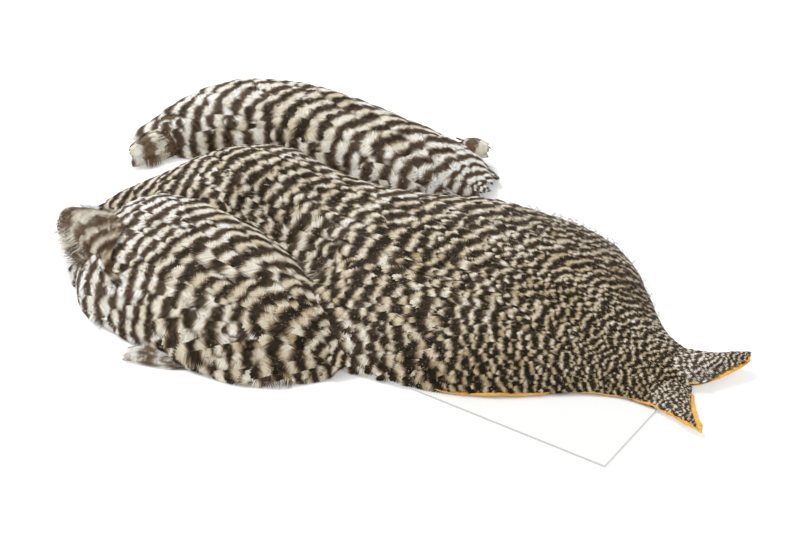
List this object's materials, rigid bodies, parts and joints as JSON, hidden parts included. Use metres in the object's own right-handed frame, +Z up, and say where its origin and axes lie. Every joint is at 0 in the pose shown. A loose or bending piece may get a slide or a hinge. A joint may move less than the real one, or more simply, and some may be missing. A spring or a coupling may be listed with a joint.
{
  "type": "hen neck cape",
  "caption": "Grizzly barred hen neck cape: the dried yellow hide with its neck hackle and two mounds of shoulder feathers, lying feather side up on a thin white card.",
  "frame": {"origin": "centre of the footprint, on the surface that the cape lies on", "axes": "+X towards the head points, +Y towards the far shoulder feathers, +Z up"},
  "size_m": [0.2918, 0.1912, 0.0244],
  "materials": {
    "card": "matte white card",
    "hide": "dried yellow skin, slightly waxy",
    "feathers": "soft webby feathers, barred dark brown and cream"
  },
  "bodies": {
    "root": {"backing_card": "card", "hide": "hide", "neck_hackle": "feathers", "near_shoulder_feathers": "feathers", "far_shoulder_feathers": "feathers"}
  },
  "joints": []
}
